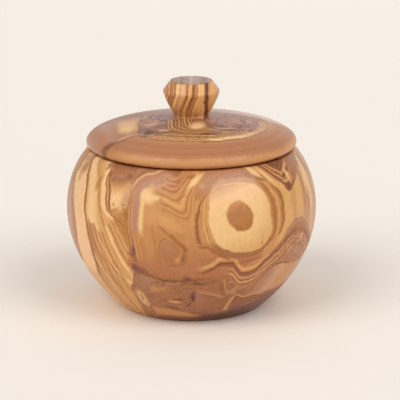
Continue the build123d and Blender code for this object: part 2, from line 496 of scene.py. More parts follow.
@grouped
def panel(place, u, v, fine):
    """The calm middle of the front: a pale edge under an arch, a drop-shaped figure and chevrons over it."""
    wood = ramp(v, [
        (31, CHESTNUT), (34, REDDISH), (39, REDDISH), (44, AMBER), (49, AMBER), (53, TAN), (58, AMBER),
        (62, AMBER), (67, AMBER), (73, CHESTNUT),
    ])
    wood = streaked(wood, v * 0.5 + u * 0.12, 0.14, 8)
    wood = dab(wood, place, [
        (GOLD, (-15, 57), (4.4, 4), 0, 0.4, 0.8),
        (GOLD, (-8, 53), (5, 1.6), -30, 0.45, 0.7),
        (TAN, (-0.5, 50), (2.4, 4), 0, 0.4, 0.7),
        (OLIVE, (0.5, 40.5), (3.6, 3.6), 0, 0.4, 0.7),
        (TAN, (-16.4, 44), (2, 6), 4, 0.5, 0.8),
    ])

    # Drop: a straight upper right side, a faint left side and a rounded bottom
    oval = spot(place, (-8.6, 43.8), (8.4, 6.2), -52)
    side = u * 0.615 + v * 0.789 - 33.3 + fine * 0.6
    left = curve(v, [
        (35.6, -8), (36.4, -9.8), (37.6, -11.7), (40.1, -13), (43, -14.2), (46, -14.5), (49.4, -14.9),
        (53, -15),
    ])
    inside = smooth(u, left, left + 0.8) * smooth(side, 0.3, -0.3) * smooth(oval, 1.2, 1)
    wood = paint(wood, AMBER, inside * 0.6)
    wood = paint(wood, CHESTNUT, line(u, left, 0.5) * within(v, 36, 37, 51, 54) * 0.7)
    wood = paint(wood, BROWN, line(oval, 1, 0.09) * smooth(v, 42.5, 38) * smooth(u, -10, -8.5) * 0.8)
    wood = paint(wood, CHESTNUT, line(oval, 1.02, 0.08) * smooth(side, 0.2, -0.6) * smooth(u, -6, -4) * 0.8)
    wood = paint(wood, BROWN, line(side, 0, 0.8) * within(u, -14.6, -11.4, -2, -1) * 0.55)
    wood = paint(wood, RUST, line(side, 0, 1.2) * within(u, -9.4, -7, -2.6, -1.3))
    wood = paint(wood, CHESTNUT, blob(place, (-7.8, 42.2), (4.8, 4.2), -50, 0.3) * 0.8)
    inner_oval = spot(place, (-7.9, 42.4), (5.8, 4.4), -55)
    wood = paint(wood, BROWN, line(inner_oval, 1, 0.07) * smooth(side, -1, -2) * 0.6)
    wood = dab(wood, place, [
        (AMBER, (-4.2, 39.6), (1, 2.4), -20, 0.7),
        (BROWN, (-2.2, 43), (1, 0.9), -30, 0.8),
        (DARK, (-3, 39.8), (0.7, 2.2), -20, 0.6),
        (GOLD, (-5.6, 39.2), (0.6, 1), -20, 0.5),
        (MAUVE, (-9, 44.4), (2.4, 1.6), -50, 0.5, 0.8),
    ])

    # Chevrons, and the marks at their right end
    sides = smooth(u + 0.8 * high(v - 62, 0), -12.8, -10.4) * smooth(u, 4.2, 2.2)
    bottom = smooth(v - 0.5 * high(-3 - u, 0), 53.6, 54.6)
    wood = paint(wood, chevrons(place, u, v), sides * bottom)
    wood = dab(wood, place, [
        (REDDISH, (3.6, 64.6), (1.9, 2.4), 0, 0.75, 0.7),
        (RUST, (1.9, 63), (0.5, 1.8), -24, 0.6),
        (HONEY, (1.9, 69.2), (4, 1.1), 39, 0.9, 0.55),
        (CREAM, (0.9, 68.4), (1.6, 0.9), 39, 0.5),
        (HONEY, (4.8, 67), (1.3, 1.1), 0, 0.55, 0.7),
        (GOLD, (-12, 71.4), (3.2, 0.5), -6, 0.5),
    ])

    # Arch: how far a place lies outside the panel's rounded top left corner
    bend = curve(v, [(34, 2.6), (40, 1.9), (45, 1.2), (50, 0.3), (54, 0), (73, 0)])
    beside = high(-17.5 - u + bend, 0)
    over = high(v - 63 - 0.45 * high(u + 17.5, 0), 0)
    reach = length(beside, over)
    arch = ramp(reach, [
        (0.6, TAN), (1.5, GOLD), (2.2, HONEY), (2.9, HONEY), (3.3, GOLD), (3.7, ROSE), (4.3, MAUVE),
        (5.8, MAUVE), (6.3, TAN), (6.6, ROSE), (6.9, BROWN), (7.3, TAN), (7.9, AMBER), (8.3, BROWN),
        (8.7, AMBER),
    ])
    top_arch = ramp(reach, [
        (0.4, TAN), (1.6, ROSE), (2.4, TAN), (3.2, MAUVE), (4.6, MAUVE), (6.8, REDDISH), (7.6, REDDISH),
        (8.1, GOLD), (8.5, ROSE), (8.9, CHESTNUT), (9.6, BROWN), (11, CHESTNUT),
    ])
    low_arch = ramp(reach, [
        (0.4, AMBER), (1, TAN), (1.8, AMBER), (2.6, AMBER), (3.4, OLIVE), (4.2, TAN), (5, REDDISH),
        (5.6, TAN), (6.2, AMBER), (6.6, BROWN), (7.1, AMBER), (7.6, TAN), (8.1, BROWN), (8.6, OLIVE),
        (9.4, TAN),
    ])
    arch = paint(paint(low_arch, arch, smooth(v, 46, 51)), top_arch, smooth(v, 63.6, 66.4))
    arch = streaked(arch, reach * 1.2, 0.16, 15)
    wood = paint(wood, arch, smooth(reach, 0.3, 1.9) * smooth(u, -6, -14) * smooth(v, 36, 40))
    return dab(wood, place, [
        (HONEY, (-17.5, 62.4), (2.8, 2.5), -10, 0.95),
        (CREAM, (-17.4, 62.4), (1.6, 1.5), -10, 0.7, 0.8),
        (HONEY, (-14.8, 62.4), (2.2, 1), -4, 0.85),
        (GOLD, (-17, 66), (1.4, 1), 40, 0.7, 0.7),
        (PLUM, (-22.9, 41.2), (0.6, 2.4), 6, 0.9, 0.5),
        (PLUM, (-24.6, 40.2), (1.6, 0.45), -20, 0.75, 0.5),
        (BROWN, (-23, 38.2), (0.7, 1.8), 40, 0.7, 0.5),
    ])


@grouped
def burl(place, u, v):
    """The swirled bottom of the front."""
    swirl = noise((0.055, 0.055, 0.13), 3, 0.5, 61, 1.4)
    wood = ramp(swirl, [
        (-0.24, BROWN), (-0.17, CHESTNUT), (-0.13, REDDISH), (-0.1, CHESTNUT), (-0.085, BROWN),
        (-0.07, REDDISH), (-0.03, MAUVE), (-0.01, BROWN), (0.005, REDDISH), (0.04, CHESTNUT),
        (0.06, REDDISH), (0.08, TAN), (0.1, BROWN), (0.12, REDDISH), (0.15, MAUVE), (0.18, BROWN),
        (0.2, REDDISH), (0.25, TAN), (0.3, CHESTNUT),
    ])
    wood = paint(wood, CHESTNUT, smooth(v, 24, 28) * smooth(u, -10, -2) * 0.4)
    wood = paint(wood, BROWN, smooth(u, -12, 2) * smooth(v, 30, 22) * 0.35)
    wood = dab(wood, place, [
        (MAUVE, (-21, 27), (3.6, 3.4), 0, 0.6, 0.7),
        (TAN, (-14.6, 23.8), (4.2, 1.2), 22, 0.85),
        (GOLD, (-17, 24.6), (1.6, 1.2), 20, 0.6),
        (DARK, (-12.8, 28.6), (3.4, 0.7), 4, 0.85),
        (BROWN, (-3.4, 28.6), (1.8, 0.35), -18, 0.8, 0.5),
        (BROWN, (-3.4, 27.6), (1.8, 0.35), 14, 0.8, 0.5),
        (DARK, (3.6, 27.8), (3.6, 0.5), -4, 0.7),
        (BROWN, (8.8, 29), (3.6, 0.5), 8, 0.8),
        (TAN, (5, 22.8), (3.4, 0.9), -24, 0.75),
        (MAUVE, (4.2, 16.8), (2.2, 4.6), 0, 0.7),
        (GOLD, (-8.2, 17), (2.8, 0.9), -6, 0.95, 0.5),
        (ROSE, (-3, 16.6), (1.6, 0.3), -40, 0.8, 0.5),
        (ROSE, (17, 27.6), (0.5, 2), -20, 0.8, 0.5),
        (ROSE, (19.8, 24.4), (1.6, 0.5), 30, 0.8, 0.5),
        (MAUVE, (-18, 28.6), (5, 0.7), 4, 0.7),
        (BROWN, (-19, 20.4), (4, 0.8), 20, 0.6),
        (OLIVE, (-10.6, 23.4), (3, 0.8), 8, 0.7),
        (REDDISH, (-13.6, 21.6), (5, 1.6), 6, 0.6, 0.7),
        (PLUM, (0.4, 20.8), (1.1, 2.6), -10, 0.9),
        (UMBER, (0.6, 19.2), (0.6, 1.4), -10, 0.8, 0.5),
        (PLUM, (-1.6, 15.2), (0.7, 2), -30, 0.85, 0.5),
        (PLUM, (-3.4, 16.8), (1.8, 0.5), -35, 0.75, 0.5),
        (PLUM, (-9.5, 12.6), (4, 0.9), -12, 0.8),
        (DARK, (-6.4, 18.6), (2.6, 0.6), 6, 0.8),
        (CHESTNUT, (6, 14.6), (5, 2.6), 0, 0.6, 0.7),
        (TAN, (8.6, 22.2), (3, 0.8), -24, 0.8),
        (ROSE, (12.2, 20.4), (3, 0.6), -24, 0.7),
        (BROWN, (9, 20.2), (4, 0.6), -25, 0.7),
        (HONEY, (-24.6, 17), (2.3, 5.4), 8, 0.8, 0.4),
        (TAN, (-28.4, 19.6), (1.6, 1.2), 20, 0.8, 0.5),
        (DARK, (-24.6, 18.4), (0.35, 1.6), 8, 0.85, 0.5),
        (DARK, (-24.9, 16.6), (0.3, 1.3), -24, 0.8, 0.5),
        (TAN, (14.4, 27.4), (0.6, 2.6), 8, 0.8, 0.5),
        (TAN, (16, 22.8), (0.7, 2.2), 28, 0.8, 0.5),
        (BROWN, (13.2, 25.6), (0.8, 2.8), 10, 0.8, 0.5),
        (BROWN, (17.2, 26.4), (1.4, 0.6), -8, 0.7, 0.5),
        (ROSE, (18.6, 22.4), (1.5, 1.1), 0, 0.8),
    ])
    wood = shade(wood, BURL_LIGHTNESS)
    wedge_top = smooth(v + 0.3 * u + 0.006 * u * u, 8.6, 7.6)
    wedge = smooth(v, 4.4, 5.2) * wedge_top * within(u, -21.8, -20.6, 4, 11)
    return paint(wood, TAN, wedge * 0.95)


@grouped
def wave_bands(place, u, v, crest):
    """The layers that rise to the right under a dark crest line."""
    mottled = noise((0.28, 0.28, 0.4), 3, 0.65, 23) * smooth(u, 31, 39)
    above = v - crest + mottled * 6
    wood = ramp(above, [
        (-17, MAUVE), (-13.4, CHESTNUT), (-12.2, MAUVE), (-11.4, BROWN), (-10.8, CHESTNUT), (-10, MAUVE),
        (-9.2, CHESTNUT), (-8.6, BROWN), (-7.9, TAN), (-7.3, CHESTNUT), (-6.6, MAUVE), (-5.9, BROWN),
        (-5.3, CHESTNUT), (-4.7, GOLD), (-4.2, TAN), (-3.8, BROWN), (-3.2, CHESTNUT), (-2.6, ROSE),
        (-2.2, ROSE), (-1.8, CHESTNUT), (-1.1, BROWN), (-0.4, BROWN), (0.1, DARK), (0.6, CHESTNUT),
        (1.1, TAN), (2, GOLD), (2.8, TAN), (3.5, CHESTNUT), (5, BROWN),
    ])
    wood = streaked(wood, above * 1.3, 0.28, 27)
    wood = paint(wood, MAUVE, smooth(u, 36, 46) * within(above, -12.5, -10, -8, -6) * 0.6)
    wood = paint(wood, CHESTNUT, smooth(u, 34, 44) * smooth(above, -0.8, -2.4) * 0.5)
    wood = dab(wood, place, [
        (ROSE, (45.4, 38.6), (2.6, 0.7), 34, 0.7),
        (ROSE, (49.6, 36.6), (1.2, 0.8), 20, 0.6),
        (BROWN, (47.6, 40.6), (2.4, 0.7), 30, 0.6),
        (BROWN, (52.6, 38.4), (1.6, 1), -20, 0.6),
    ])

    # Plain wood below the layers
    under = curve(u, [
        (26, 17.5), (29.3, 21.4), (30, 25), (32.7, 28.9), (35.5, 31.4), (38, 32.6), (41, 32.6),
        (46.1, 31.2), (57.5, 30), (63.6, 32),
    ]) + mottled * 2
    wood = paint(wood, DARK, line(v, under + 0.4, 0.8) * within(u, 28, 30, 44, 50) * 0.7)
    plain = streaked(ramp(u - 0.3 * v, [
        (18, CHESTNUT), (21, REDDISH), (27, MAUVE), (32, ROSE), (40, TAN), (48, ROSE),
    ]), v * 0.6 + u * 0.5, 0.12, 83)
    return paint(wood, plain, smooth(v - under, 0.2, -0.6) * smooth(u, 27.5, 29))


@grouped
def right_side(place, u, v):
    """The pale right side with the dark V at its top."""
    # The rose and grey tones at the far right end of this ramp, towards the outline, are painted sheen
    wood = ramp(u - 0.16 * (v - 55), [
        (36, TAN), (40, GOLD), (45, GOLD), (47, TAN), (49.5, GOLD), (53.4, GOLD), (54.4, TAN),
        (55.8, AMBER), (56.6, CHESTNUT), (57.4, TAN), (58.3, ROSE), (59.2, CHESTNUT), (60, REDDISH),
        (60.8, ROSE), (63, HONEY), (65, ROSE), (67, GOLD), (68.5, MAUVE), (71, ROSE), (75, GREYED),
    ])
    wood = paint(wood, ROSE, smooth(v, 54, 49) * smooth(u, 44, 48) * 0.5)
    wood = paint(wood, HONEY, blob(place, (61.5, 62.6), (2.2, 5), -14, 0.5) * 0.8)
    wood = streaked(wood, u * 0.7 - v * 0.2, 0.14, 61)

    # V: layers that fall to a point and rise again, thicker to the right of it
    point = curve(u, [
        (24, 76), (29, 74.2), (33, 72.6), (37.3, 68.8), (40, 66.1), (43, 63.6), (46.4, 60.3), (48.4, 61.2),
        (51.8, 63.2), (55, 65.5), (59, 67.6), (62, 69.6), (66, 73),
    ])
    thin = curve(u, [(30, 0.6), (36, 0.75), (40, 0.95), (43, 1.1), (47, 1.75), (54, 1.8)])
    layer = (v - point) / thin
    vee = ramp(layer, [
        (-0.3, GOLD), (0, TAN), (0.3, BROWN), (0.7, DARK), (1.2, CHESTNUT), (1.6, DARK), (2.1, BROWN),
        (2.4, GOLD), (2.8, TAN), (3.1, BROWN), (3.4, TAN), (3.7, DARK), (4.3, BROWN), (4.6, TAN), (5, GOLD),
        (5.4, AMBER), (5.8, DARK), (6.4, BROWN), (7, DARK), (9, BROWN),
    ])
    vee = streaked(vee, layer * 2.4, 0.3, 35)
    vee = paint(vee, CHESTNUT, smooth(u, 50, 52) * 0.9)
    vee = paint(vee, GREYED, smooth(u - 0.4 * (v - 68), 53, 57) * 0.45)
    wood = paint(wood, vee, smooth(layer, -0.3, 0.1) * smooth(u, 65, 62))
    return dab(wood, place, [
        (DARK, (46.6, 62.4), (1.5, 1.3), 0, 0.85, 0.5),
        (GOLD, (48.4, 66.2), (1.1, 3), 10, 0.85, 0.5),
        (HONEY, (48.2, 66.8), (0.6, 2), 10, 0.7),
        (TAN, (50.2, 65.6), (1.2, 1.4), 0, 0.7),
        (DARK, (45.7, 67.6), (0.4, 2.4), 8, 0.8, 0.5),
        (RUST, (51.8, 66.2), (1, 1.4), 0, 0.6),
        (AMBER, (45.7, 57.4), (0.4, 2.4), 0, 0.6),
    ])


@grouped
def eye(place, u, v, wood):
    """The round knot: a pale disc with a brown heart, and the rings that bend round it."""
    du = u - EYE_PLACE[0] - 0.1 * high(54 - v, 0)
    dv = v - EYE_PLACE[1]
    wobble = noise(1 / 4, 1, 0.5, 88)

    # How far a place lies outside the disc in mm, where the top left corner is cut off
    across, up = EYE_SIZE
    reach = (abs(du) / across) ** EYE_SQUARENESS + (abs(dv) / up) ** EYE_SQUARENESS
    out = (reach ** (1 / EYE_SQUARENESS) * (1 + wobble * 0.06) - 1) * up
    out = out - smooth(dv, 3, 9) * smooth(du, -4, -10) * smooth(dv - du, 24.5, 21.5) * 1.1

    # Rings lie closer together low on the right and high on the left
    tight_right = curve(dv, [
        (-14, 2), (-10.8, 1.9), (-8.2, 1.2), (-5.3, 0.91), (0, 0.74), (4, 0.72), (11.3, 0.87), (15, 1),
    ])
    tight_left = curve(dv, [
        (-9, 0.93), (-6.6, 0.95), (-3.3, 0.98), (0.2, 1.09), (3.3, 1.24), (6.7, 1.58), (8.3, 2.17),
        (9.8, 3.2), (12, 4),
    ])
    ring = out * ((tight_right - 1) * smooth(du, 3, 9) + (tight_left - 1) * smooth(du, -4, -10) + 1)
    right = ramp(ring, [
        (0, TAN), (0.3, AMBER), (0.7, OLIVE), (1.6, RUST), (2.1, OLIVE), (2.5, AMBER), (3, GOLD),
        (3.5, TAN), (4, OLIVE), (4.3, AMBER), (4.6, RUST), (5.2, RUST), (5.6, TAN), (6.1, GOLD), (8, GOLD),
    ])
    left = ramp(ring, [
        (0, GOLD), (0.4, AMBER), (0.9, GOLD), (1.4, OLIVE), (1.8, TAN), (2.4, GOLD), (2.9, OLIVE),
        (3.3, TAN), (4, AMBER), (4.5, AMBER), (4.8, BROWN), (5.7, BROWN), (6.1, AMBER), (7, AMBER),
    ])
    over = ramp(out, [
        (0, HONEY), (0.5, ROSE), (1.6, ROSE), (2.6, MAUVE), (4.2, MAUVE), (5.2, REDDISH), (6, AMBER),
        (7, TAN),
    ])
    under = ramp(out, [
        (0, AMBER), (0.4, BROWN), (1, CHESTNUT), (1.5, BROWN), (2, CHESTNUT), (3, REDDISH),
    ])
    low_side = smooth(dv, -7, -11)
    rings = paint(left, right, smooth(du, 3, 9))
    rings = paint(rings, over, smooth(dv, 7.5, 12) * within(du, -15, -11, 7, 12))
    rings = streaked(paint(rings, under, low_side), out * 1.3, 0.2, 44)
    width = 6.2 - 3.8 * low_side
    wood = paint(wood, MAUVE, blob(place, (8.6, 68.2), (5, 3.4), 30) * 0.8)
    wood = paint(wood, rings, smooth(ring, width + 0.6, width - 0.3))
    disc = ramp(dv - 0.3 * du, [(-14, GOLD), (-5, HONEY), (3, HONEY), (10, CREAM), (15, ROSE)])
    disc = paint(disc, GOLD, smooth(du - 0.4 * dv, 6, 14) * 0.5)
    wood = paint(wood, disc, smooth(out, 0.3, -0.5))
    checks = noise((2.2, 2.2, 0.4), 2, 0.6, 7)
    heart = ramp(checks * 0.8 + dv * 0.05 - du * 0.012 - 0.12, [
        (-0.55, BROWN), (-0.3, RUST), (-0.16, OLIVE), (-0.02, CHESTNUT), (0.12, AMBER), (0.26, TAN),
        (0.45, GOLD),
    ])
    edge = spot(place, (19.2, 55.4), (6.5, 5.4), -50) * (1 + wobble * 0.2)
    wood = paint(wood, heart, smooth(edge + 0.02 * high(dv - 3, 0), 1.06, 0.86))
    return dab(wood, place, [
        (BROWN, (4.6, 44.3), (1.9, 0.6), -14, 0.8),
        (BROWN, (8, 42.8), (2.4, 0.6), -34, 0.8),
        (BROWN, (12.4, 40), (3, 0.7), -30, 0.8),
        (BROWN, (23.4, 37.4), (5.4, 0.5), 8, 0.7),
        (CHESTNUT, (20, 38.6), (4.4, 0.4), 0, 0.6),
        (GOLD, (25.6, 36.2), (3, 0.4), 20, 0.6),
        (AMBER, (28.4, 45.4), (0.3, 2.2), 0, 0.6),
        (RUST, (28.5, 43.6), (0.35, 0.5), 0, 0.7, 0.5),
        (ROSE, (11.6, 67.4), (2.6, 1.4), 40, 0.6, 0.8),
        (BROWN, (31.2, 67.8), (2.4, 0.8), -20, 0.85),
        (HONEY, (28.8, 71.2), (4.4, 1), -40, 0.95, 0.55),
        (CREAM, (30, 70.2), (2, 0.6), -40, 0.6),
        (HONEY, (35.6, 68), (5.6, 0.8), -48, 0.85),
        (GOLD, (38.4, 64.3), (5.6, 0.7), -40, 0.8),
        (CHESTNUT, (25.5, 70.4), (2.6, 0.7), -30, 0.6),
    ])


@grouped
def front_figure(u0, v0):
    """The photographed side: its parts laid over each other, from the burl at the foot to the knot."""
    fine = noise(1 / 1.6, 2, 0.6, 31.3)
    u = u0 + noise(1 / 9, 2, 0.55, 3.1) * 1.5 + fine * 0.8
    v = v0 + noise(1 / 9, 2, 0.55, 17.7) * 1.5 + noise(1 / 1.6, 2, 0.6, 37.9) * 0.8
    place = vec(u, v, 1)
    wood = burl(place, u, v)

    # Long bands left of this line
    limit = curve(v, [
        (0, -32), (8, -30), (12, -28.6), (22, -28.8), (26, -26.8), (30, -25.4), (34, -24.6), (45, -25.2),
        (60, -25.9), (73, -25.6),
    ])
    soften = 0.5 + 2.4 * smooth(v, 60, 66)
    bands = left_bands(place, u, v, fine)
    wood = paint(wood, bands, smooth(u - limit, soften, soften * -0.8))

    # Calm middle above this line
    floor_line = curve(u, [
        (-26, 35), (-23, 33.6), (-18, 31.6), (-12, 30), (-6, 29.4), (0, 30.2), (8, 31), (20, 31),
    ])
    height = v - floor_line + fine * 2.2
    panel_side = smooth(u + 0.12 * high(42 - v, 0), -26, -25)
    wood = paint(wood, panel(place, u, v, fine), smooth(height, -0.6, 0.6) * panel_side)
    wood = paint(wood, DARK, line(height, -0.3, 0.8) * within(u, -25, -21, 2, 9) * 0.75)
    wood = paint(wood, MAUVE, line(height, -1.7, 0.7) * within(u, -24, -20, -10, -4) * 0.6)
    wood = dab(wood, place, [
        (PLUM, (-21.4, 33.4), (3.4, 1.7), -20, 0.7, 0.7),
        (PLUM, (-23.6, 34.8), (1.2, 1.2), 0, 0.7),
        (PLUM, (-1.6, 30.4), (1.8, 1), 0, 0.85),
        (DARK, (2.4, 28.4), (1.8, 0.7), -20, 0.8),
        (BROWN, (-17.4, 31.2), (4, 0.9), -20, 0.7),
    ])

    # Rising layers, and the shadowed wood under the hook-shaped line at their foot
    crest = curve(u, [
        (-30, 31), (-5, 32.6), (3, 33.4), (8.3, 35.2), (11.1, 37.1), (14.1, 37.2), (18.6, 34.5),
        (22.9, 31.8), (26.3, 32.4), (29.9, 35.2), (33.6, 37.8), (38.4, 41), (43.2, 44.4), (47, 45.6),
        (50.1, 45.4), (53.4, 43.6), (60, 39.5), (70, 33),
    ])
    above = v - crest
    waves = wave_bands(place, u, v, crest)
    at_crest = smooth(u, 1, 7) * smooth(above, -1.4, -0.6)
    under_crest = smooth(u, 13.5, 17) * smooth(above + 0.25 * (u - 20), -8.5, -7.5)
    low_right = smooth(u, 24, 28) * smooth(v, 17.4, 18.8)
    shown = low(at_crest + under_crest + low_right, 1)
    wood = paint(wood, waves, shown * smooth(above, 4, 3.2))
    hook = curve(u, [
        (16, 22), (19.6, 21), (22.6, 19.5), (27.4, 17.9), (31.5, 18.5), (38, 17.4), (46.7, 16.4), (60, 13),
    ])
    wood = paint(wood, BROWN, smooth(u, 20, 23) * smooth(v - hook, -0.2, -1) * 0.8)
    wood = paint(wood, GOLD, line(v, hook, 0.6) * within(u, 20, 22.5, 32, 42) * 0.9)
    shadow = smooth(v - 0.16 * high(u - 22, 0) + fine * 3, 14.6, 9.5) * within(u, 19, 23, 50, 62)
    wood = paint(wood, PLUM, shadow * 0.7)
    # Darker towards the foot: partly dark wood, partly painted shade where the bowl meets the floor
    wood = paint(wood, PLUM, smooth(v - 0.05 * abs(u - 20), 9, 5.5) * within(u, 0, 12, 46, 60) * 0.8)
    wood = paint(wood, DARK, smooth(v, 7, 4) * within(u, -30, -10, 40, 60) * 0.7)
    wood = dab(wood, place, [
        (BROWN, (16.4, 15), (0.5, 5.4), -14, 0.8, 0.5),
        (TAN, (18.9, 14.8), (1.2, 5.6), -14, 0.95, 0.35),
        (GOLD, (18.6, 10.6), (1, 1.4), -14, 0.7, 0.4),
        (DARK, (21.2, 16.6), (0.6, 3.2), -18, 0.75, 0.5),
        (BROWN, (28, 14.6), (6, 0.6), 6, 0.6),
        (MAUVE, (32, 12.6), (6, 0.7), 8, 0.6),
        # Dark band low by the foot: partly dark wood, partly painted shade
        (UMBER, (21, 4.6), (14, 2.6), 2, 0.75, 0.7),
    ])

    # Brown cap over the rising layers at the right, and the wood between them and the knot
    band = curve(u, [(28, 2.4), (33, 2), (38, 2.6), (43, 3.8), (48, 4.2), (54, 4.2), (60, 3), (66, 2.2)])
    edge = above - band + fine * 2
    cap = streaked(ramp(above, [(0, BROWN), (1.4, CHESTNUT), (3, MAUVE), (4.4, CHESTNUT)]), above, 0.2, 71)
    wood = paint(wood, cap, smooth(u, 30, 37) * smooth(above, 0.2, 0.9) * smooth(edge, 0.5, -0.5))
    wood = paint(wood, ROSE, line(above, 2.2, 0.8) * within(u, 26, 30, 38, 44) * 0.8)
    wood = paint(wood, right_side(place, u, v), smooth(u, 27, 31) * smooth(edge, -0.4, 0.4))
    wood = dab(wood, place, [
        (ROSE, (51.9, 41.8), (1.2, 1.3), 0, 0.95),
        (CHESTNUT, (50, 45.6), (3, 1.8), -10, 0.6),
        (TAN, (41, 46.6), (3.6, 0.6), 62, 0.6),
    ])
    wood = eye(place, u, v, wood)
    fibre = noise((1.5, 1.5, 0.09), 3, 0.7, 5)
    cloud = noise(1 / 5, 3, 0.6, 71)
    return shade(wood, FRONT_LIGHTNESS + fibre * 0.22 + cloud * 0.16, FRONT_STRENGTH)


@grouped
def back_figure(u0, v0):
    """The far side: bands that part round a smaller knot."""
    u = u0 + noise(1 / 12, 3, 0.55, 23) * 5
    v = v0 + noise(1 / 12, 3, 0.55, 29) * 5
    du, dv = u - KNOT_PLACE[0], v - KNOT_PLACE[1]
    reach = length(du, dv)
    growth = du * high(1 - (high(reach, 1) / KNOT_REACH) ** -2, 0) + v * 0.18
    wood = banded(growth, 12)
    rings = ramp(reach, [
        (2.6, CHESTNUT), (3.4, AMBER), (4, HONEY), (7.6, CREAM), (8.4, OLIVE), (9, AMBER), (9.8, RUST),
        (10.6, GOLD), (11.6, BROWN), (12.6, TAN), (13.4, AMBER),
    ])
    return paint(wood, rings, smooth(reach, 13.6, 12))


def bowl_figure():
    """The front's figure, the back's and the hollow's, where u goes round the wall and v up it."""
    x, y, z = coordinates()
    radius = length(x, y)
    height = z - MIDDLE_HEIGHT
    reach = length(radius, height)
    v = (angle(height, radius) + math.atan2(MIDDLE_HEIGHT, FOOT_REACH)) * RISE_REACH
    hollow = banded(growth_from(HOLLOW_PITH, x, y) + z * 0.22, 77)
    outside = smooth(reach, *WALL_INSIDE)
    wood = paint(hollow, back_figure(angle(x, y) * ROUND_REACH, v), outside)
    u = angle(x, y * -1) * ROUND_REACH

    # The front's figure ends at slanting, wavy seams with a brown line along them
    seam = abs(u) + (v - FRONT_HALF_HEIGHT) * 0.3 + noise(1 / 12, 3, 0.55, 90) * 16
    wood = paint(wood, front_figure(u, v), outside * smooth(seam, FRONT_HALF + 1, FRONT_HALF - 1))
    return paint(wood, BROWN, line(seam, FRONT_HALF, 1.6) * outside * 0.7)


@grouped
def lid_swirls():
    """The burl on the lid: cloudy purple and rosy patches with thin dark edges."""
    swirl = noise((0.06, 0.075, 0.06), 2, 0.5, 14, 3)
    return ramp(swirl, [
        (-0.3, PLUM), (-0.22, MAUVE), (-0.17, CHESTNUT), (-0.14, PLUM), (-0.1, REDDISH), (-0.06, MAUVE),
        (-0.04, PLUM), (-0.02, UMBER), (0, REDDISH), (0.02, GREYED), (0.05, MAUVE), (0.07, PLUM),
        (0.09, UMBER), (0.11, REDDISH), (0.13, ROSE), (0.15, TAN), (0.18, BROWN), (0.2, PLUM),
        (0.24, GREYED), (0.3, ROSE),
    ])


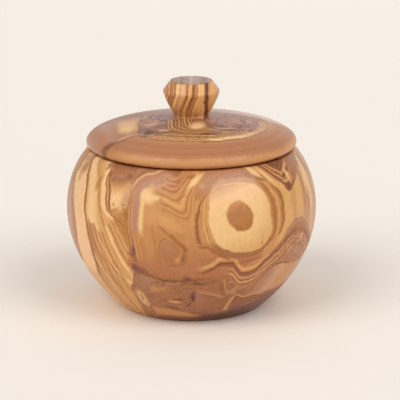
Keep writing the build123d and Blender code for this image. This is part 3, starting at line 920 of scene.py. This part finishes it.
@grouped
def lid_top(x0, y0):
    """A plain rim round a burl, with a golden crescent between them and tight lines in front of the knob."""
    fine = noise(1 / 1.6, 2, 0.6, 33)
    x = x0 + noise(1 / 8, 2, 0.55, 6) * 2.2 + fine * 0.9
    y = y0 + noise(1 / 8, 2, 0.55, 10) * 2.6 + noise(1 / 1.6, 2, 0.6, 39)
    place = vec(x, y, 1)
    reach = length(x, y)

    # Rim, with turning lines, and the smooth wood to the left and behind, where pale grey stripes and a
    # lightening towards the right are painted sheen
    # The rim lightens to tan at its outer edge: partly wood, partly painted light reflected up from the
    # floor
    wood = ramp(reach, [
        (31.8, AMBER), (33, REDDISH), (35.4, CHESTNUT), (37, REDDISH), (39, CHESTNUT), (40.4, REDDISH),
        (41.6, TAN),
    ])
    turned = (length(x0, y0) + y * 0.05) * 1.3
    wood = shade(wood, noise_along(turned, 3, 0.7, 4) * 0.3 + 1)
    wood = paint(wood, BROWN, smooth(x, -22, -36) * smooth(y, 2, -12) * 0.5)
    left = ramp(x + y * 0.2 + fine * 2, [
        (-48, MAUVE), (-44, ROSE), (-41, MAUVE), (-38, REDDISH), (-35, MAUVE), (-31, CHESTNUT),
        (-28, MAUVE), (-25, CHESTNUT), (-22, MAUVE), (-20, CHESTNUT),
    ])
    wood = paint(wood, left, smooth(x, -17, -24) * smooth(y, -27, -20))
    # Behind the knob: wood tones with painted sheen, as pale grey stripes and as lighter colour towards the
    # right
    back = ramp(x * 0.6 + y * 0.5 + noise(1 / 20, 3, 0.55, 44) * 14, [
        (-14, CHESTNUT), (-8, BROWN), (-4, CHESTNUT), (0, MAUVE), (4, CHESTNUT), (7, MAUVE), (11, ROSE),
        (15, PALE_GREY_SHEEN), (19, ROSE), (24, PALE_GREY_SHEEN), (28, TAN), (36, MAUVE),
    ])
    wood = paint(wood, shade(back, x * 0.007 + 0.97), smooth(y, 3, 9))

    # Burl, and the layers that frame it
    edge = spot(place, LID_BURL_PLACE, LID_BURL_SIZE, 0) * LID_BURL_SIZE[0] + fine * 2
    inside = smooth(edge, 30.5, 29.3) * smooth(x, -20.8, -20.2)
    wood = paint(wood, lid_swirls(), inside * smooth(y, 13, 5))
    hem = ramp(edge, [
        (20.8, DARK), (21.6, AMBER), (22.4, UMBER), (23.1, GOLD), (23.6, DARK), (24.2, OLIVE), (24.7, GOLD),
        (25.2, DARK), (25.8, OLIVE), (26.4, DARK), (26.9, GOLD), (27.5, AMBER), (28, DARK), (28.5, GOLD),
        (29.2, OLIVE), (29.8, TAN), (30.4, DARK), (30.9, CHESTNUT),
    ])
    front = smooth(y, -17, -20) * within(x, -18, -14, 10, 17)
    wood = paint(wood, hem, within(edge, 20.6, 22, 30.6, 31) * front)
    crescent = smooth(x, 4, 9) * smooth(y, -14, -19)
    wood = paint(wood, OLIVE, line(edge, 27, 3.6) * crescent * 0.8)
    wood = paint(wood, HONEY, line(edge, 28.4, 1.9) * crescent)
    wood = paint(wood, DARK, line(edge, 30.2, 0.7) * smooth(x, 2, 8) * smooth(y, -6, -14) * 0.6)
    wood = paint(wood, GOLD, line(edge, 28, 2.6) * smooth(x, 19, 22) * smooth(y, 6, -4) * 0.6)

    # Lines that leave the knob's left side, turn, and sweep round to the right
    ahead = 0.05 * x - y - 13.2
    around = length(high(ahead, 0), high(3.5 - x, 0) * 0.8) + noise(1 / 6, 2, 0.5, 52) * 1.6
    lines = ramp(around, [
        (0.4, REDDISH), (1, DARK), (1.5, AMBER), (2, UMBER), (2.5, TAN), (3, DARK), (3.5, GOLD), (4, UMBER),
        (4.6, GOLD), (5.1, DARK), (5.6, TAN), (6.1, UMBER), (6.6, GOLD), (7.2, DARK), (7.7, AMBER),
        (8.2, UMBER), (8.8, GOLD), (9.4, DARK), (10, TAN), (10.6, UMBER), (11.3, AMBER),
    ])
    swept = within(around, 0.4, 1, 10.6, 11.4) * smooth(x, 15, 8) * smooth(y, -5.5, -8)
    wood = paint(wood, lines, swept)
    return dab(wood, place, [
        (HONEY, (2.2, -14.6), (2.6, 3.6), -12, 0.9, 0.5),
        (CREAM, (2, -16.4), (1.6, 1.8), 0, 0.6),
        (UMBER, (7, -22.6), (4.5, 0.8), 8, 0.8),
        (PLUM, (8.6, -17.2), (3.2, 0.9), -40, 0.85),
        (ROSE, (10.4, -19), (3.6, 0.8), -20, 0.7),
        (PLUM, (12, -14.5), (5.4, 1.3), -25, 0.85),
        (UMBER, (15, -17.5), (5.6, 0.8), 25, 0.75),
        (ROSE, (14.5, -16), (3.6, 0.8), 10, 0.8),
        (PLUM, (20, -12), (4.4, 1), 40, 0.7),
        (PLUM, (-12.5, -14), (4, 2.2), 30, 0.55, 0.8),
        (ROSE, (-15.5, -10), (3, 1.6), 60, 0.7, 0.7),
        (ROSE, (-11, -18.4), (3.4, 1), -10, 0.7, 0.7),
        (UMBER, (-15.6, -19.2), (2.6, 1.8), 0, 0.9, 0.5),
        (UMBER, (-12, -21.4), (2.4, 1), 0, 0.8),
        (PLUM, (-18, -16.4), (2.2, 1.2), -30, 0.8),
        (PLUM, (-20.6, -11), (0.9, 6.5), 2, 0.9),
        (PLUM, (-20, -4), (0.8, 3.4), -14, 0.8),
        (GOLD, (-25, -8), (4, 8.5), 2, 0.95, 0.5),
        (HONEY, (-25.8, -11.5), (2.4, 3.6), 0, 0.5, 0.7),
        (ROSE, (-26.5, -21.2), (6.5, 0.8), 16, 0.85),
        (DARK, (-27.5, -23.4), (7.5, 0.8), 20, 0.45, 0.7),
        (DARK, (-32, -23.8), (3.4, 1.6), 26, 0.8, 0.7),
        (RUST, (-14, -27.5), (7, 0.8), -24, 0.5, 0.7),
    ])


def lid_figure():
    """The domed top's figure, over growth layers on the spigot and the underside."""
    x, y, z = coordinates()
    growth = growth_from(LID_PITH, x, y)
    level = z + length(x, y) * LID_SLOPE
    return paint(banded(growth, 31), lid_top(x, y), smooth(level, *LID_PARTING))


@grouped
def knob_stripes(x0, z):
    """Upright stripes that bend where the knob is widest, seen as the layers of one block."""
    sway = curve(z, [(74, 2.6), (79, 2.2), (83, 1.1), (86.6, 0), (91, -0.5)])
    fine = noise(1 / 1.4, 2, 0.6, 41)
    x = x0 + sway * smooth(x0, 5, 0) + noise((0.12, 0.12, 0.25), 3, 0.6, 2) * 1.6 + fine * 0.8
    wood = ramp(x, [
        (-11, CHESTNUT), (-10, TAN), (-9.4, RUST), (-8.9, GOLD), (-8.2, DARK), (-7.8, TAN), (-7.4, RUST),
        (-7, TAN), (-6.6, DARK), (-6.1, GOLD), (-5.3, HONEY), (-4.8, OLIVE), (-4.4, ROSE), (-3.4, GOLD),
        (-2.4, TAN), (-2, DARK), (-1.6, RUST), (-1.2, TAN), (-0.3, GOLD), (0.1, RUST), (0.7, DARK),
        (1.1, RUST), (1.6, OLIVE), (2.1, BROWN), (2.6, GOLD), (4.6, GOLD), (5.1, RUST), (5.5, DARK),
        (6.3, UMBER), (6.9, TAN), (8.4, GOLD), (10.4, AMBER),
    ])

    # Uneven lines that fill the left side low down
    between = ramp(noise_along(x * 0.45, 2, 0.5, 140), [
        (-0.2, RUST), (-0.12, DARK), (-0.06, AMBER), (0, RUST), (0.05, GOLD), (0.1, DARK), (0.15, TAN),
        (0.25, RUST),
    ])
    wood = paint(wood, between, smooth(z, 84, 77) * smooth(x0, 3.5, 1) * 0.65)
    fibre = noise((2.2, 2.2, 0.12), 2, 0.6, 21)
    wood = shade(streaked(wood, x * 1.4, 0.55, 66), fibre * 0.3 + KNOB_LIGHTNESS)

    # Flat top: the grey and plum tones laid over the stripes here are painted sheen
    cap = ramp(x + noise(0.25, 2, 0.6, 95) * 6, [
        (-9, CHESTNUT), (-7, GREYED), (-4, PLUM), (-2.4, GREYED), (0, PALE_GREY_SHEEN), (2.5, GREYED),
        (4.5, PLUM), (6, GREYED), (9, CHESTNUT),
    ])
    return paint(wood, shade(cap, KNOB_SHEEN_LIGHTNESS), smooth(z, *KNOB_TOP) * 0.8)


def knob_figure():
    x, _, z = coordinates()
    return knob_stripes(x, z)


def wood_material(name, figure):
    """Oiled wood with a figure's colours, patches of different polish and a fine grain."""
    material = bpy.data.materials.new(name)
    material.use_nodes = True
    tree = material.node_tree
    trees.append(tree)
    shader = tree.nodes["Principled BSDF"]
    tree.links.new(figure().socket, shader.inputs["Base Color"])
    grain = noise(1 / GRAIN_SIZE, 3.0, 0.65, 3)
    polish = noise(1 / 18, 2.0, 0.5, 9) * 0.12 + grain * 0.1 + POLISH
    tree.links.new(polish.socket, shader.inputs["Roughness"])
    shader.inputs["Specular IOR Level"].default_value = GLOSS
    bump = add_node("Bump", {"Height": grain, "Strength": GRAIN_STRENGTH, "Distance": GRAIN_DEPTH / 1000})
    tree.links.new(bump.outputs[0], shader.inputs["Normal"])
    trees.pop()
    return material


def add_camera():
    """A camera that looks down on the jar a little, and aims so that the jar sits as photographed."""
    back = Vector((0, -math.cos(CAMERA_HEIGHT_ANGLE), math.sin(CAMERA_HEIGHT_ANGLE)))
    up = Vector((0, math.sin(CAMERA_HEIGHT_ANGLE), math.cos(CAMERA_HEIGHT_ANGLE)))
    per_px = CAMERA_DISTANCE / FOCAL_PX
    right_px = FRAME_PX / 2 - LOOK_AT_PX[0]
    down_px = FRAME_PX / 2 - LOOK_AT_PX[1]
    aim = LOOK_AT + Vector((1, 0, 0)) * right_px * per_px - up * down_px * per_px
    data = bpy.data.cameras.new("camera")
    data.sensor_width = SENSOR_MM
    data.lens = FOCAL_PX / FRAME_PX * SENSOR_MM
    data.clip_start = NEAREST
    data.clip_end = FARTHEST
    camera = bpy.data.objects.new("camera", data)
    camera.location = LOOK_AT + back * CAMERA_DISTANCE
    camera.rotation_euler = (aim - camera.location).to_track_quat("-Z", "Y").to_euler()
    bpy.context.scene.collection.objects.link(camera)
    bpy.context.scene.camera = camera


def add_sun(name, turn, strength):
    """A soft light from far away, in front of the jar and turned to one side of the camera."""
    data = bpy.data.lights.new(name, "SUN")
    data.angle = math.radians(SUN_SOFTNESS)
    data.energy = strength
    lamp = bpy.data.objects.new(name, data)
    lamp.rotation_euler = (math.radians(90 - SUN_HEIGHT_ANGLE), 0, math.radians(turn))
    bpy.context.scene.collection.objects.link(lamp)


def add_panel():
    """A soft panel behind the jar that shows only by its light."""
    data = bpy.data.lights.new("behind", "AREA")
    data.shape = "RECTANGLE"
    data.size, data.size_y = PANEL_SIZE
    data.energy = PANEL_POWER
    lamp = bpy.data.objects.new("behind", data)
    lamp.location = PANEL_PLACE
    lamp.rotation_euler = (Vector(PANEL_AIM) - Vector(PANEL_PLACE)).to_track_quat("-Z", "Y").to_euler()
    lamp.visible_camera = False
    bpy.context.scene.collection.objects.link(lamp)


def add_world():
    """Even light from all sides."""
    world = bpy.data.worlds.new("studio")
    bpy.context.scene.world = world
    world.use_nodes = True
    background = world.node_tree.nodes["Background"]
    background.inputs["Color"].default_value = (*linear(WORLD_COLOUR), 1)
    background.inputs["Strength"].default_value = WORLD_STRENGTH


def add_floor():
    """A plain pale floor that reaches past the picture."""
    half = FLOOR_SIZE / 2
    mesh = bpy.data.meshes.new("floor")
    corners = [(-half, -half, 0), (half, -half, 0), (half, half, 0), (-half, half, 0)]
    mesh.from_pydata(corners, [], [(0, 1, 2, 3)])
    floor = bpy.data.objects.new("floor", mesh)
    bpy.context.scene.collection.objects.link(floor)
    material = bpy.data.materials.new("floor")
    material.use_nodes = True
    shader = material.node_tree.nodes["Principled BSDF"]
    shader.inputs["Base Color"].default_value = (*linear(FLOOR_COLOUR), 1)
    shader.inputs["Roughness"].default_value = FLOOR_ROUGHNESS
    shader.inputs["Specular IOR Level"].default_value = FLOOR_GLOSS
    mesh.materials.append(material)


add_camera()
add_floor()
add_world()
add_sun("left", -SUN_TURN, LEFT_SUN_STRENGTH)
add_sun("right", SUN_TURN, RIGHT_SUN_STRENGTH)
add_panel()

figures = {"bowl": bowl_figure, "lid": lid_figure, "knob": knob_figure}
for name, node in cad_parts.items():
    node.data.materials.clear()
    node.data.materials.append(wood_material(name + "_wood", figures[name]))

bpy.context.scene.view_settings.view_transform = "Standard"
